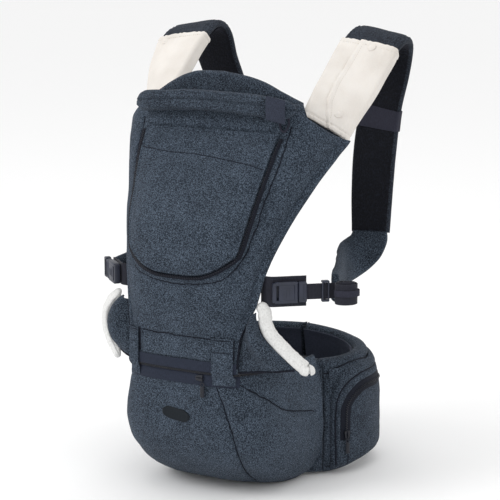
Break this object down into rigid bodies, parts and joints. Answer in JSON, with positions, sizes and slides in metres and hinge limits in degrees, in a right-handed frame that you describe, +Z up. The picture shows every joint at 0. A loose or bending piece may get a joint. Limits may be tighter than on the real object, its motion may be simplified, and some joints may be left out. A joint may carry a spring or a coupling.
{
  "type": "soft baby carrier with hip seat",
  "caption": "Soft baby carrier in heathered blue-grey fabric with a foam hip seat, closed waist belt, zip-on panel, vent flap, cream strap covers and white leg cuffs",
  "frame": {"origin": "bottom centre of the bounding box", "axes": "+Z up, front of the carrier faces -Y, right strap and pocket on +X"},
  "size_m": [0.3995, 0.3818, 0.5923],
  "materials": {
    "melange_fabric": "woven melange",
    "dark_mesh": "spacer mesh",
    "navy_lining": "smooth lining",
    "webbing": "flat woven",
    "zip_tape": "flat woven",
    "cream_cover": "soft cotton",
    "white_fleece": "fleece",
    "badge_rubber": "plain",
    "buckle_plastic": "fine texture",
    "zip_plastic": "plain",
    "foam": "open cell"
  },
  "bodies": {
    "hip_belt": {"hip_seat_cover": "melange_fabric", "hip_seat_foam_core": "foam", "seat_top_pad": "dark_mesh", "hip_seat_base": "navy_lining", "waist_belt_right": "melange_fabric", "waist_belt_left": "melange_fabric", "belly_pad": "melange_fabric", "belt_lining_right": "navy_lining", "belt_lining_left": "navy_lining", "front_badge": "badge_rubber", "lower_zip_tape": "zip_tape", "pocket_body": "melange_fabric", "pocket_zip_tape": "zip_tape", "zip_guard_lower_right": "melange_fabric", "rear_webbing_left": "webbing", "rear_webbing_right": "webbing", "rear_buckle_female": "buckle_plastic"},
    "front_zip_slider_body": {"front_zip_slider": "zip_plastic"},
    "front_zip_pull_body": {"front_zip_pull": "zip_plastic"},
    "pocket_slider_body": {"pocket_slider": "zip_plastic"},
    "pocket_pull_body": {"pocket_pull": "zip_plastic"},
    "rear_buckle_body": {"rear_buckle_male": "buckle_plastic", "rear_webbing_tail": "webbing"},
    "head_support_body": {"head_support": "melange_fabric"},
    "vent_flap_body": {"vent_flap": "melange_fabric"},
    "side_buckle_right_body": {"side_buckle_male_right": "buckle_plastic", "side_webbing_right": "webbing", "ladder_lock_right": "buckle_plastic", "webbing_roll_right": "webbing", "strap_end_right": "melange_fabric"},
    "side_buckle_left_body": {"side_buckle_male_left": "buckle_plastic", "side_webbing_left": "webbing", "ladder_lock_left": "buckle_plastic", "webbing_roll_left": "webbing", "strap_end_left": "melange_fabric"},
    "carrier_panel": {"flap_zip_tape": "zip_tape", "front_panel": "melange_fabric", "hood_elastic_loop": "webbing", "hood_tab": "webbing", "leg_cuff_left": "white_fleece", "leg_cuff_right": "white_fleece", "leg_gusset_left": "melange_fabric", "leg_gusset_right": "melange_fabric", "panel_lining": "dark_mesh", "rolled_hood": "melange_fabric", "shoulder_strap_left": "melange_fabric", "shoulder_strap_right": "melange_fabric", "side_buckle_female_left": "buckle_plastic", "side_buckle_female_right": "buckle_plastic", "side_guard_tab_left": "webbing", "side_guard_tab_right": "webbing", "strap_cover_left": "cream_cover", "strap_cover_right": "cream_cover", "strap_elastic_band_left": "webbing", "strap_elastic_band_right": "webbing", "strap_mesh_left": "dark_mesh", "strap_mesh_right": "dark_mesh", "upper_zip_tape": "zip_tape", "vent_mesh": "dark_mesh", "zip_guard_upper_right": "melange_fabric"}
  },
  "joints": [
    {"name": "panel_fold", "type": "hinge", "parent": "hip_belt", "child": "carrier_panel", "pos_m": [-0.0075, -0.1833, 0.1705], "axis": [1, 0, 0], "range_deg": [0, 88]},
    {"name": "head_support_tilt", "type": "hinge", "parent": "carrier_panel", "child": "head_support_body", "pos_m": [-0.0075, -0.0623, 0.4985], "axis": [1, 0, 0], "range_deg": [-60, 10]},
    {"name": "vent_flap_open", "type": "hinge", "parent": "carrier_panel", "child": "vent_flap_body", "pos_m": [-0.0075, -0.1033, 0.47], "axis": [-1, 0, 0], "range_deg": [0, 75]},
    {"name": "side_buckle_right_release", "type": "slide", "parent": "carrier_panel", "child": "side_buckle_right_body", "axis": [0.7507, 0.6607, 0], "range_m": [0, 0.03]},
    {"name": "side_buckle_left_release", "type": "slide", "parent": "carrier_panel", "child": "side_buckle_left_body", "axis": [-0.7507, 0.6607, 0], "range_m": [0, 0.03]},
    {"name": "rear_buckle_release", "type": "slide", "parent": "hip_belt", "child": "rear_buckle_body", "axis": [1, 0, 0], "range_m": [0, 0.035]},
    {"name": "front_zip_slide", "type": "slide", "parent": "hip_belt", "child": "front_zip_slider_body", "axis": [1, 0, 0], "range_m": [-0.075, 0.01]},
    {"name": "front_zip_pull_swing", "type": "hinge", "parent": "front_zip_slider_body", "child": "front_zip_pull_body", "pos_m": [0.0279, -0.18284, 0.16], "axis": [-1, 0, 0], "range_deg": [0, 80]},
    {"name": "pocket_zip_slide", "type": "slide", "parent": "hip_belt", "child": "pocket_slider_body", "axis": [0, 0, 1], "range_m": [0, 0.03]},
    {"name": "pocket_pull_swing", "type": "hinge", "parent": "pocket_slider_body", "child": "pocket_pull_body", "pos_m": [0.1342, 0.0135, 0.0504], "axis": [-0.4909, -0.8712, 0], "range_deg": [0, 80]}
  ]
}
